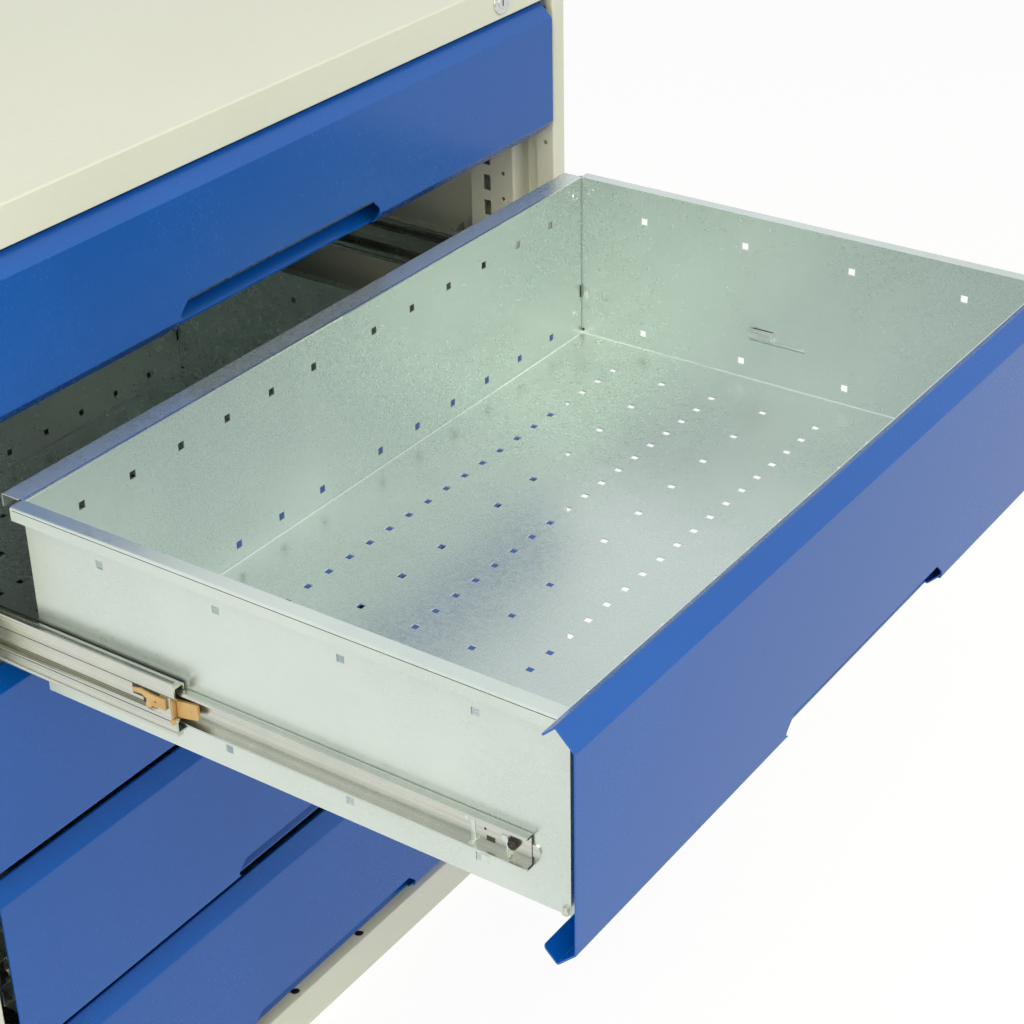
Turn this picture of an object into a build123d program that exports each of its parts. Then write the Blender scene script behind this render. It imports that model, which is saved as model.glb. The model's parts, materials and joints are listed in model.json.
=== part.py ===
from build123d import *
import os

os.makedirs("parts", exist_ok=True)

# Carcass sizes, millimetres. X runs to the right, Y to the back, Z up.
# The origin is on the floor, below the middle of the base.
cabinet_width = 800.0
cabinet_depth = 550.0
panel_sheet = 1.2
base_height = 40.8
fascia_height = 30.0
front_gap = 4.2
post_width = 18.0
post_return = 18.5
post_hole_drop = 10.7
rear_flange = 15.0

# Drawer pitches, counted from the top drawer down
small_pitch = 125.0
large_pitch = 175.0
drawer_pitches = [small_pitch, large_pitch, large_pitch, large_pitch, large_pitch]
open_drawer = 2

# Tray: one folded sheet
tray_sheet = 1.0
bend_radius = 1.5
tray_side_margin = 62.5
tray_depth_margin = 120.0
tray_bottom_margin = 8.3
tray_top_margin = 15.2
side_flange = 12.0
back_flange = 20.0
front_flange = 17.0
flange_lip = 10.0
hole_side = 6.0
fine_pitch = 25.0
coarse_pitch = 50.0
row_pitch = 100.0
row_margin = 65.0
column_margin = 50.0
coarse_start = 37.5
wall_row_low = 15.0
wall_row_drop = 28.0

# Lanced hook, press marks and corner tab of the tray walls
lance_from_back = 172.0
lance_length = 54.0
lance_height = 4.0
lance_above_floor = 39.0
lance_tab_length = 23.0
lance_tab_height = 8.0
lance_tab_rise = 2.0
clinch_radius = 3.5
clinch_rise = 0.6
clinch_from_corner = 11.0
clinch_from_edge = 15.0

# Drawer front: one folded sheet with a finger notch
front_sheet = 1.2
front_side_margin = 27.5
front_proud = 5.5
front_to_tray = 26.0
chamfer_run = 13.4
lip_run = 10.2
lip_drop = 9.7
fold_radius = 1.8
lip_corner_radius = 3.0
notch_top_width = 220.0
notch_height = 14.0
notch_corner_radius = 3.0
bracket_width = 40.0
bracket_sheet = 1.5
bracket_spread = 0.72

# Ball slides: three members on each side of a drawer
slide_length = cabinet_depth - 50.0
slide_travel = slide_length + 10.0
slide_above_tray = 39.5
slide_thickness = 13.5
rail_sheet = 1.2
rail_fold_radius = 1.4
rail_play = 0.6
inner_rail_height = 25.0
inner_rail_reach = 7.5
inner_rail_lip = 1.8
mid_rail_height = 36.0
mid_rail_length = slide_length - 30.0
mid_rail_from_tray = 1.7
mid_rail_depth = 10.0
mid_web_step = 2.6
mid_lobe_height = 9.0
mid_lobe_slope = 1.6
mid_web_cutback = 4.5
cabinet_rail_height = 45.0
cabinet_rail_reach = 11.0
inner_rail_setback = 52.3
cabinet_rail_setback = 37.5
mid_rail_setback = 65.0
rail_tab_length = 5.6
rail_tab_height = 9.0

# Rack uprights that carry the slides
upright_depth = 50.0
upright_width = 24.8
upright_sheet = 1.5
upright_fold_radius = 2.0
upright_front_setback = 39.5
upright_rear_setback = 35.0
rack_pitch = 25.0
rack_offset = 5.4
slot_width = 8.0
slot_height = 15.0
slot_from_face = 30.5
rack_hole_radius = 2.0
rack_hole_from_face = 12.2
hanger_sheet = 1.5
hanger_length = 30.0
hanger_height = 34.0
tongue_height = 12.0
tongue_length = 6.0

# Release lever and bumper of a slide
lever_sheet = 2.0
lever_inset = 4.9
lever_reach_front = 15.0
lever_reach_back = 14.0
lever_pivot_setback = 19.0
lever_root_drop = 8.6
lever_root_rise = 4.6
lever_tip_drop = 4.4
lever_tip_rise = 7.8
lever_boss_radius = 4.8
lever_boss_clearance = 0.3
hook_thickness = 1.4
hook_clearance = 0.3
bumper_depth = 3.4
bumper_length = 10.0
bumper_height = 12.0
bumper_setback = 7.7

# Lock in the top rail
lock_x = 303.0
lock_flange_radius = 11.0
lock_flange_thickness = 2.0
lock_body_radius = 9.4
lock_body_length = 20.0
lock_hole_clearance = 0.2
lock_barrel_radius = 6.0
lock_barrel_clearance = 0.05
key_slot_length = 8.0
key_slot_width = 1.6
key_slot_depth = 5.0
cam_radius = 5.0
cam_reach = 6.5
cam_thickness = 2.0
cam_pin_radius = 1.5
cam_pin_length = 4.0

# Rivets of the back panel and holes of the base
back_panel_play = 0.8
rivet_radius = 2.0
rivet_head_radius = 3.5
rivet_head_height = 1.4
rivet_clearance = 0.05
rivets_per_side = 6
base_flange = 25.0
base_hole_radius = 4.5
base_hole_spacing = 96.0
base_hole_inset = 10.0
floor_notch = 17.0
centre_rail_width = 60.0

# Values that follow from the sizes above
half_width = cabinet_width / 2
half_depth = cabinet_depth / 2
front_plane = -half_depth
drawers_bottom = base_height + front_gap / 2
drawers_top = drawers_bottom + sum(drawer_pitches)
fascia_bottom = drawers_top + front_gap / 2
cabinet_height = fascia_bottom + fascia_height
top_underside = cabinet_height - panel_sheet
wall_inner_x = half_width - panel_sheet
tray_width = cabinet_width - 2 * tray_side_margin
tray_depth = cabinet_depth - tray_depth_margin
tray_outer_x = tray_width / 2 + tray_sheet
face_plane = front_plane - front_proud
tray_front_outer = face_plane + front_to_tray
tray_front_inner = tray_front_outer + tray_sheet
tray_back_inner = tray_front_inner + tray_depth
tray_middle = (tray_front_inner + tray_back_inner) / 2
front_half_width = half_width - front_side_margin
rack_face_x = wall_inner_x - upright_width
upright_front_face = front_plane + upright_front_setback
upright_rear_face = half_depth - upright_rear_setback
upright_bottom = base_height - panel_sheet
inner_rail_front = face_plane + inner_rail_setback
cabinet_rail_front = front_plane + cabinet_rail_setback
mid_rail_front = front_plane + mid_rail_setback
inner_rail_half = inner_rail_height / 2
mid_rail_half = mid_rail_height / 2
cabinet_rail_half = cabinet_rail_height / 2
mid_rail_inner_x = tray_outer_x + mid_rail_from_tray
mid_rail_outer_x = mid_rail_inner_x + mid_rail_depth
mid_web_x = mid_rail_outer_x - mid_web_step
slide_outer_x = tray_outer_x + slide_thickness
lever_pivot_y = mid_rail_front + lever_pivot_setback
fascia_middle = fascia_bottom + fascia_height / 2


def plane_facing_front(y):
    """Sketch plane with X to the right and Z up, extruding towards the front."""
    return Plane(origin=(0, y, 0), x_dir=(1, 0, 0), z_dir=(0, -1, 0))


def plane_facing_right(x):
    """Sketch plane with Y to the right and Z up, extruding towards +X."""
    return Plane(origin=(x, 0, 0), x_dir=(0, 1, 0), z_dir=(1, 0, 0))


def drawer_floor_level(number):
    """Lower limit of a drawer's share of the cabinet, drawer 1 being on top."""
    return drawers_top - sum(drawer_pitches[:number])


def save(builder, label):
    """Name a finished piece and write it."""
    builder.part.label = label
    export_step(builder.part, "parts/" + label + ".step")


# Side panels: outer wall, front post with its return, and rear flange
def make_side_panel():
    with BuildPart() as panel:
        with BuildSketch(Plane.XY):
            with BuildLine():
                FilletPolyline(
                    (half_width - post_width, front_plane + post_return),
                    (half_width - post_width, front_plane),
                    (half_width, front_plane),
                    (half_width, half_depth),
                    (half_width - rear_flange, half_depth),
                    radius=fold_radius,
                )
                offset(amount=panel_sheet, side=Side.LEFT)
            make_face()
        extrude(amount=top_underside)
        # The post stops below the fascia, which runs over it
        with BuildSketch(Plane.XY.offset(fascia_bottom)):
            with Locations((half_width - post_width / 2, front_plane)):
                Rectangle(post_width + 2 * fold_radius, 2 * fold_radius)
            with Locations((half_width - post_width, front_plane + post_return / 2)):
                Rectangle(2 * (post_width - panel_sheet), post_return + panel_sheet)
        extrude(amount=fascia_height, mode=Mode.SUBTRACT)
        # One small hole in the return beside the top of each drawer
        hole_levels = [drawer_floor_level(n) + drawer_pitches[n - 1] - post_hole_drop
                       for n in range(1, len(drawer_pitches) + 1)]
        with BuildSketch(plane_facing_right(half_width - post_width - panel_sheet)):
            with Locations(*[(front_plane + post_return / 2, z) for z in hole_levels]):
                Circle(rack_hole_radius)
        extrude(amount=3 * panel_sheet, mode=Mode.SUBTRACT)
        # Rivet holes of the back panel
        with BuildSketch(plane_facing_front(half_depth + panel_sheet)):
            with Locations(*rivet_places(right_side=True)):
                Circle(rivet_radius + rivet_clearance)
        extrude(amount=3 * panel_sheet, mode=Mode.SUBTRACT)
    return panel


def rivet_places(right_side):
    """Rivet centres in X and Z along one or the other side of the back."""
    x = half_width - rear_flange / 2
    if not right_side:
        x = -x
    first = base_height * 2
    step = (top_underside - 2 * first) / (rivets_per_side - 1)
    return [(x, first + step * i) for i in range(rivets_per_side)]


right_panel = make_side_panel()
save(right_panel, "side_panel_right")

with BuildPart() as left_panel:
    mirror(right_panel.part, about=Plane.YZ)
save(left_panel, "side_panel_left")

# Back panel, inside the rear flanges
back_outer = half_depth - panel_sheet
with BuildPart() as back_panel:
    with BuildSketch(plane_facing_front(back_outer)):
        with Locations((0, top_underside / 2)):
            Rectangle(2 * (wall_inner_x - back_panel_play), top_underside)
        with Locations(*rivet_places(True), *rivet_places(False)):
            Circle(rivet_radius + rivet_clearance, mode=Mode.SUBTRACT)
    extrude(amount=panel_sheet)
save(back_panel, "back_panel")

# Top panel with the fascia folded down in front and a stiffening return
fascia_return = 12.0
with BuildPart() as top_panel:
    with BuildSketch(plane_facing_right(-half_width)):
        with BuildLine():
            FilletPolyline(
                (half_depth, cabinet_height),
                (front_plane, cabinet_height),
                (front_plane, fascia_bottom),
                radius=fold_radius,
            )
            offset(amount=panel_sheet, side=Side.LEFT)
        make_face()
    extrude(amount=cabinet_width)
    with BuildSketch(Plane.XY.offset(fascia_bottom)):
        with Locations((0, front_plane + panel_sheet / 2 + fascia_return / 2)):
            Rectangle(2 * (half_width - post_width) - 2 * panel_sheet, fascia_return)
    extrude(amount=panel_sheet)
    with BuildSketch(plane_facing_front(front_plane + 2 * panel_sheet)):
        with Locations((lock_x, fascia_middle)):
            Circle(lock_body_radius + lock_hole_clearance)
    extrude(amount=3 * panel_sheet, mode=Mode.SUBTRACT)
save(top_panel, "top_panel")

# Base: front rail, middle rail, rear rail and the floor sheet they carry
base_inner_half = half_width - post_width - 0.2
with BuildPart() as base_rail_front:
    with BuildSketch(plane_facing_right(-base_inner_half)):
        with BuildLine():
            FilletPolyline(
                (front_plane + base_flange, 0),
                (front_plane, 0),
                (front_plane, base_height),
                (front_plane + base_flange, base_height),
                radius=fold_radius,
            )
            offset(amount=panel_sheet, side=Side.RIGHT)
        make_face()
    extrude(amount=2 * base_inner_half)
    with BuildSketch(Plane.XY.offset(base_height - 2 * panel_sheet)):
        with Locations((0, front_plane + base_hole_inset)):
            with GridLocations(base_hole_spacing, 1, 2, 1):
                Circle(base_hole_radius)
    extrude(amount=3 * panel_sheet, mode=Mode.SUBTRACT)
save(base_rail_front, "base_rail_front")

floor_top = base_height - panel_sheet
floor_bottom = floor_top - panel_sheet
back_inner = back_outer - panel_sheet
with BuildPart() as base_rail_rear:
    with BuildSketch(plane_facing_right(-wall_inner_x)):
        with BuildLine():
            FilletPolyline(
                (back_inner - base_flange, 0),
                (back_inner, 0),
                (back_inner, floor_bottom),
                (back_inner - base_flange, floor_bottom),
                radius=fold_radius,
            )
            offset(amount=panel_sheet, side=Side.LEFT)
        make_face()
    extrude(amount=2 * wall_inner_x)
save(base_rail_rear, "base_rail_rear")

with BuildPart() as base_rail_middle:
    with BuildSketch(plane_facing_right(-wall_inner_x)):
        with BuildLine():
            FilletPolyline(
                (-centre_rail_width / 2, floor_bottom),
                (-centre_rail_width / 2, 0),
                (centre_rail_width / 2, 0),
                (centre_rail_width / 2, floor_bottom),
                radius=fold_radius,
            )
            offset(amount=panel_sheet, side=Side.LEFT)
        make_face()
    extrude(amount=2 * wall_inner_x)
save(base_rail_middle, "base_rail_middle")

floor_front = front_plane + floor_notch
with BuildPart() as floor_panel:
    with BuildSketch(Plane.XY.offset(floor_bottom)):
        with Locations((0, (floor_front + back_inner) / 2)):
            Rectangle(2 * wall_inner_x, back_inner - floor_front)
    extrude(amount=panel_sheet)
save(floor_panel, "floor_panel")


# Rack uprights: channels with hanging slots, one pair in front and one behind
def slot_levels():
    """Heights of the hanging slots, in step with the slides."""
    lowest = drawers_bottom + tray_bottom_margin + slide_above_tray + rack_offset
    lowest -= rack_pitch / 2
    count = int((drawers_top - slot_height - lowest) / rack_pitch) + 1
    return [lowest + rack_pitch * i for i in range(count)]


def make_uprights(face_y, direction):
    """A mirrored pair; direction is +1 where the channel runs back from its face."""
    side = Side.RIGHT if direction > 0 else Side.LEFT
    with BuildPart() as uprights:
        with BuildSketch(Plane.XY.offset(upright_bottom)):
            with BuildLine():
                FilletPolyline(
                    (wall_inner_x, face_y),
                    (rack_face_x, face_y),
                    (rack_face_x, face_y + direction * upright_depth),
                    (wall_inner_x, face_y + direction * upright_depth),
                    radius=upright_fold_radius,
                )
                offset(amount=upright_sheet, side=side)
            make_face()
        extrude(amount=drawers_top - upright_bottom)
        levels = slot_levels()
        with BuildSketch(plane_facing_right(rack_face_x - upright_sheet)):
            slot_y = face_y + direction * slot_from_face
            hole_y = face_y + direction * rack_hole_from_face
            with Locations(*[(slot_y, z) for z in levels]):
                Rectangle(slot_width, slot_height)
            with Locations(*[(hole_y, z + rack_pitch / 2) for z in levels[:-1]]):
                Circle(rack_hole_radius)
        extrude(amount=3 * upright_sheet, mode=Mode.SUBTRACT)
        mirror(about=Plane.YZ)
    return uprights


save(make_uprights(upright_front_face, 1), "rack_uprights_front")
save(make_uprights(upright_rear_face, -1), "rack_uprights_rear")

# Rivets of the back panel, heads outside
with BuildPart() as rivets:
    with BuildSketch(plane_facing_front(half_depth)):
        with Locations(*rivet_places(True), *rivet_places(False)):
            Circle(rivet_radius)
    extrude(amount=2 * panel_sheet)
    with BuildSketch(plane_facing_front(half_depth + rivet_head_height)):
        with Locations(*rivet_places(True), *rivet_places(False)):
            Circle(rivet_head_radius)
    extrude(amount=rivet_head_height)
    fillet(rivets.edges().group_by(Axis.Y)[-1], radius=rivet_head_height / 2)
save(rivets, "back_panel_rivets")

# Lock: housing in the fascia, turning barrel and its crank behind
with BuildPart() as lock_housing:
    with BuildSketch(plane_facing_front(front_plane)):
        with Locations((lock_x, fascia_middle)):
            Circle(lock_flange_radius)
    extrude(amount=lock_flange_thickness)
    fillet(lock_housing.edges().group_by(Axis.Y)[0], radius=lock_flange_thickness / 2)
    with BuildSketch(plane_facing_front(front_plane + lock_body_length)):
        with Locations((lock_x, fascia_middle)):
            Circle(lock_body_radius)
    extrude(amount=lock_body_length)
    with BuildSketch(plane_facing_front(front_plane + lock_body_length + 1)):
        with Locations((lock_x, fascia_middle)):
            Circle(lock_barrel_radius + lock_barrel_clearance)
    extrude(amount=lock_body_length + lock_flange_thickness + 2, mode=Mode.SUBTRACT)
save(lock_housing, "lock_housing")

barrel_front = front_plane - lock_flange_thickness - 0.6
barrel_back = front_plane + lock_body_length + 0.3
with BuildPart() as lock_barrel:
    with BuildSketch(plane_facing_front(barrel_back)):
        with Locations((lock_x, fascia_middle)):
            Circle(lock_barrel_radius)
    extrude(amount=barrel_back - barrel_front)
    fillet(lock_barrel.edges().group_by(Axis.Y)[0], radius=0.5)
    with BuildSketch(plane_facing_front(barrel_front + key_slot_depth)):
        with Locations((lock_x, fascia_middle)):
            Rectangle(key_slot_width, key_slot_length)
    extrude(amount=key_slot_depth + 1, mode=Mode.SUBTRACT)
save(lock_barrel, "lock_barrel")

cam_back = barrel_back + cam_thickness
with BuildPart() as lock_cam:
    with BuildSketch(plane_facing_front(cam_back)):
        with Locations((lock_x - cam_reach / 2, fascia_middle)):
            SlotCenterToCenter(cam_reach, 2 * cam_radius)
    extrude(amount=cam_thickness)
    with BuildSketch(plane_facing_front(cam_back + cam_pin_length)):
        with Locations((lock_x - cam_reach, fascia_middle)):
            Circle(cam_pin_radius)
    extrude(amount=cam_pin_length)
save(lock_cam, "lock_cam")


# Tray of a drawer
def coarse_columns():
    """X places of the coarse grid: two mirrored groups."""
    count = int((tray_width / 2 - column_margin - coarse_start) / coarse_pitch) + 1
    right = [coarse_start + coarse_pitch * i for i in range(count)]
    return [-x for x in reversed(right)] + right


def make_tray(number, shift):
    """Tray with its flanges and holes, moved forward by shift."""
    bottom = drawer_floor_level(number) + tray_bottom_margin
    top = bottom + drawer_pitches[number - 1] - tray_bottom_margin - tray_top_margin
    middle_y = tray_middle - shift
    front_y = tray_front_inner - shift
    back_y = tray_back_inner - shift
    middle_z = (bottom + top) / 2
    levels = [bottom + tray_sheet + wall_row_low, top - wall_row_drop]
    fine_count = int((tray_width - 2 * column_margin) / fine_pitch) + 1
    row_count = int((tray_depth - 2 * row_margin) / row_pitch) + 1
    row_ys = [middle_y + row_pitch * (i - (row_count - 1) / 2) for i in range(row_count)]
    with BuildPart() as tray:
        # Floor with fine rows and, between them, coarse rows
        with BuildSketch(Plane(origin=(0, middle_y, bottom))):
            Rectangle(2 * tray_outer_x, tray_depth + 2 * tray_sheet)
            with GridLocations(fine_pitch, row_pitch, fine_count, row_count):
                Rectangle(hole_side, hole_side, mode=Mode.SUBTRACT)
            between = [row_pitch * (i - (row_count - 2) / 2) for i in range(row_count - 1)]
            with Locations(*[(x, y) for x in coarse_columns() for y in between]):
                Rectangle(hole_side, hole_side, mode=Mode.SUBTRACT)
        extrude(amount=tray_sheet)
        # Back wall with two rows of holes
        with BuildSketch(plane_facing_front(back_y + tray_sheet)):
            with Locations((0, middle_z)):
                Rectangle(2 * tray_outer_x, top - bottom)
            with Locations(*[(x, z) for x in coarse_columns() for z in levels]):
                Rectangle(hole_side, hole_side, mode=Mode.SUBTRACT)
        extrude(amount=tray_sheet)
        # Front wall, plain
        with BuildSketch(plane_facing_front(front_y)):
            with Locations((0, middle_z)):
                Rectangle(2 * tray_outer_x, top - bottom)
        extrude(amount=tray_sheet)
        # Right wall with holes and the lanced slot, then its mirror image
        slot_y = back_y - lance_from_back - lance_length / 2
        slot_z = bottom + tray_sheet + lance_above_floor
        with BuildSketch(plane_facing_right(tray_width / 2)):
            with Locations((middle_y, middle_z)):
                Rectangle(tray_depth + 2 * tray_sheet, top - bottom)
            with Locations(*[(y, z) for y in row_ys for z in levels]):
                Rectangle(hole_side, hole_side, mode=Mode.SUBTRACT)
            with Locations((slot_y, slot_z)):
                Rectangle(lance_length, lance_height, mode=Mode.SUBTRACT)
        extrude(amount=tray_sheet)
        tab_y = back_y - lance_from_back - lance_tab_length / 2
        tab_z = slot_z + lance_height / 2 + lance_tab_height / 2
        with BuildSketch(plane_facing_right(tray_width / 2 - lance_tab_rise)):
            with Locations((tab_y, tab_z)):
                RectangleRounded(lance_tab_length, lance_tab_height, 1.5)
        extrude(amount=lance_tab_rise)
        # Side flange, folded outwards and down
        with BuildSketch(plane_facing_front(back_y + tray_sheet)):
            with BuildLine():
                FilletPolyline(
                    (tray_width / 2, top),
                    (tray_width / 2 + side_flange, top),
                    (tray_width / 2 + side_flange, top - flange_lip),
                    radius=fold_radius,
                )
                offset(amount=tray_sheet, side=Side.RIGHT)
            make_face()
        extrude(amount=tray_depth + 2 * tray_sheet)
        # Press marks of the back and front walls near their corners
        mark_x = tray_width / 2 - clinch_from_corner
        marks = [(mark_x, top - clinch_from_edge), (mark_x, bottom + 1.6 * clinch_from_edge)]
        for mark_y in (back_y, front_y + clinch_rise):
            with BuildSketch(plane_facing_front(mark_y)):
                with Locations(*marks):
                    Circle(clinch_radius)
            extrude(amount=clinch_rise)
        mirror(about=Plane.YZ)
        # Back flange and front flange with their lips
        with BuildSketch(plane_facing_right(-tray_outer_x)):
            with BuildLine():
                FilletPolyline(
                    (back_y, top),
                    (back_y + back_flange, top),
                    (back_y + back_flange, top - flange_lip),
                    radius=fold_radius,
                )
                offset(amount=tray_sheet, side=Side.RIGHT)
            make_face()
            with BuildLine():
                FilletPolyline(
                    (front_y, top),
                    (front_y - front_flange, top),
                    (front_y - front_flange, top - flange_lip),
                    radius=fold_radius,
                )
                offset(amount=tray_sheet, side=Side.LEFT)
            make_face()
        extrude(amount=2 * tray_outer_x)
        # Bends of the walls into the floor
        bends = tray.edges().filter_by(
            lambda edge: abs(edge.center().Z - bottom - tray_sheet) < 0.01
            and edge.length > tray_depth - 1
            and abs(edge.center().X) < tray_width / 2 + 0.1
            and front_y - 0.1 < edge.center().Y < back_y + 0.1
        )
        fillet(bends, radius=bend_radius)
    return tray


# Folded drawer front with chamfered edges, inner lips and a finger notch
def make_front(number, shift):
    lower = drawer_floor_level(number) + front_gap / 2
    upper = drawer_floor_level(number) + drawer_pitches[number - 1] - front_gap / 2
    face_y = face_plane - shift
    crease = lower + chamfer_run
    with BuildPart() as front:
        with BuildSketch(plane_facing_right(-front_half_width)):
            with BuildLine():
                FilletPolyline(
                    (face_y + chamfer_run + lip_run, lower + lip_run),
                    (face_y + chamfer_run, lower),
                    (face_y, crease),
                    (face_y, upper - chamfer_run),
                    (face_y + chamfer_run, upper),
                    (face_y + chamfer_run + lip_run, upper - lip_drop),
                    radius=fold_radius,
                )
                offset(amount=front_sheet, side=Side.RIGHT)
            make_face()
        extrude(amount=2 * front_half_width)
        # Round the corners at both ends of the inner lips
        corners = front.edges().filter_by(
            lambda edge: abs(edge.length - front_sheet) < 0.01
            and edge.center().Y > face_y + chamfer_run + lip_run / 2
        )
        fillet(corners, radius=lip_corner_radius)
        # Notch through the face, widening downwards at 45 degrees
        with BuildSketch(plane_facing_front(face_y + 2 * front_sheet)):
            with BuildLine():
                top_half = notch_top_width / 2
                low_half = top_half + notch_height
                Polyline(
                    (-low_half, crease),
                    (-top_half, crease + notch_height),
                    (top_half, crease + notch_height),
                    (low_half, crease),
                    close=True,
                )
            face = make_face()
            fillet(face.vertices().group_by(Axis.Z)[-1], radius=notch_corner_radius)
        extrude(amount=3 * front_sheet, mode=Mode.SUBTRACT)
        # The same opening through the lower chamfer and its fold
        cut_run = chamfer_run + front_sheet
        with BuildSketch(Plane(origin=(0, face_y - 1, lower - 1))):
            with Locations((0, (cut_run + 1) / 2)):
                Rectangle(2 * low_half, cut_run + 1)
        extrude(amount=chamfer_run + 1, mode=Mode.SUBTRACT)
    return front


# Two folded brackets that hold the front to the tray
def make_brackets(number, shift):
    bottom = drawer_floor_level(number) + tray_bottom_margin
    top = bottom + drawer_pitches[number - 1] - tray_bottom_margin - tray_top_margin
    near = face_plane + front_sheet - shift
    far = tray_front_outer - shift
    middle_x = bracket_spread * tray_width / 2
    low = bottom + 30.0
    high = top - flange_lip - 5.0
    with BuildPart() as brackets:
        with BuildSketch(Plane.XY.offset(low)):
            with BuildLine():
                FilletPolyline(
                    (middle_x - bracket_width / 2, far),
                    (middle_x - bracket_width / 2, near),
                    (middle_x + bracket_width / 2, near),
                    (middle_x + bracket_width / 2, far),
                    radius=fold_radius,
                )
                offset(amount=bracket_sheet, side=Side.LEFT)
            make_face()
        extrude(amount=high - low)
        mirror(about=Plane.YZ)
    return brackets


def slide_level(number):
    """Height of a drawer's slides."""
    return drawer_floor_level(number) + tray_bottom_margin + slide_above_tray


# Drawer members of the slides, on the tray's walls
def make_inner_rails(number, shift):
    z = slide_level(number)
    x = tray_outer_x
    start = inner_rail_front - shift
    with BuildPart() as rails:
        with BuildSketch(plane_facing_front(start + slide_length)):
            with BuildLine():
                FilletPolyline(
                    (x + inner_rail_reach, z - inner_rail_half + inner_rail_lip),
                    (x + inner_rail_reach, z - inner_rail_half),
                    (x, z - inner_rail_half),
                    (x, z + inner_rail_half),
                    (x + inner_rail_reach, z + inner_rail_half),
                    (x + inner_rail_reach, z + inner_rail_half - inner_rail_lip),
                    radius=rail_fold_radius,
                )
                offset(amount=rail_sheet, side=Side.RIGHT)
            make_face()
        extrude(amount=slide_length)
        with BuildSketch(plane_facing_right(x)):
            with Locations((start, z)):
                SlotOverall(2 * rail_tab_length, rail_tab_height)
        extrude(amount=rail_sheet)
        mirror(about=Plane.YZ)
    return rails


# Middle members: channels round the drawer members, with a sunk web that has a
# window for the lever and is cut back in front
def make_mid_rails(number, shift):
    z = slide_level(number)
    start = mid_rail_front - shift / 2
    lip_end = inner_rail_half + rail_play
    step_end = mid_lobe_height - mid_lobe_slope
    pivot_y = lever_pivot_y - shift / 2
    with BuildPart() as rails:
        with BuildSketch(plane_facing_front(start + mid_rail_length)):
            with BuildLine():
                FilletPolyline(
                    (mid_rail_inner_x, z + lip_end),
                    (mid_rail_inner_x, z + mid_rail_half),
                    (mid_rail_outer_x, z + mid_rail_half),
                    (mid_rail_outer_x, z + mid_lobe_height),
                    (mid_web_x, z + step_end),
                    (mid_web_x, z - step_end),
                    (mid_rail_outer_x, z - mid_lobe_height),
                    (mid_rail_outer_x, z - mid_rail_half),
                    (mid_rail_inner_x, z - mid_rail_half),
                    (mid_rail_inner_x, z - lip_end),
                    radius=rail_fold_radius,
                )
                offset(amount=rail_sheet, side=Side.RIGHT)
            make_face()
        extrude(amount=mid_rail_length)
        with BuildSketch(plane_facing_right(mid_web_x - 2 * rail_sheet)):
            with Locations((pivot_y, z)):
                Circle(lever_boss_radius + lever_boss_clearance)
            with Locations((start, z)):
                Rectangle(2 * mid_web_cutback, 2 * step_end)
        extrude(amount=2 * rail_sheet + mid_web_step, mode=Mode.SUBTRACT)
        mirror(about=Plane.YZ)
    return rails


# Cabinet members with hangers that reach the rack slots
def make_cabinet_rails(number):
    z = slide_level(number)
    x = slide_outer_x
    lip_end = mid_rail_half + rail_play
    with BuildPart() as rails:
        with BuildSketch(plane_facing_front(cabinet_rail_front + slide_length)):
            with BuildLine():
                FilletPolyline(
                    (x - cabinet_rail_reach, z - lip_end),
                    (x - cabinet_rail_reach, z - cabinet_rail_half),
                    (x, z - cabinet_rail_half),
                    (x, z + cabinet_rail_half),
                    (x - cabinet_rail_reach, z + cabinet_rail_half),
                    (x - cabinet_rail_reach, z + lip_end),
                    radius=rail_fold_radius,
                )
                offset(amount=rail_sheet, side=Side.LEFT)
            make_face()
        extrude(amount=slide_length)
        reach = rack_face_x - 0.3
        front_slot = upright_front_face + slot_from_face
        rear_slot = upright_rear_face - slot_from_face
        for slot_y, sense, side in ((front_slot, 1, Side.RIGHT), (rear_slot, -1, Side.LEFT)):
            leg = slot_y - sense * hanger_sheet / 2
            with BuildSketch(Plane.XY.offset(z + rack_offset - hanger_height / 2)):
                with BuildLine():
                    FilletPolyline(
                        (reach, leg),
                        (x, leg),
                        (x, leg + sense * hanger_length),
                        (reach, leg + sense * hanger_length),
                        radius=rail_fold_radius,
                    )
                    offset(amount=hanger_sheet, side=side)
                make_face()
            extrude(amount=hanger_height)
            with BuildSketch(plane_facing_right(reach - 1)):
                for half_pitch in (-rack_pitch / 2, rack_pitch / 2):
                    low = z + rack_offset + half_pitch - slot_height / 2 + 0.3
                    with Locations((slot_y, low + tongue_height / 2)):
                        Rectangle(hanger_sheet, tongue_height)
            extrude(amount=tongue_length + 1)
        mirror(about=Plane.YZ)
    return rails


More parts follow.
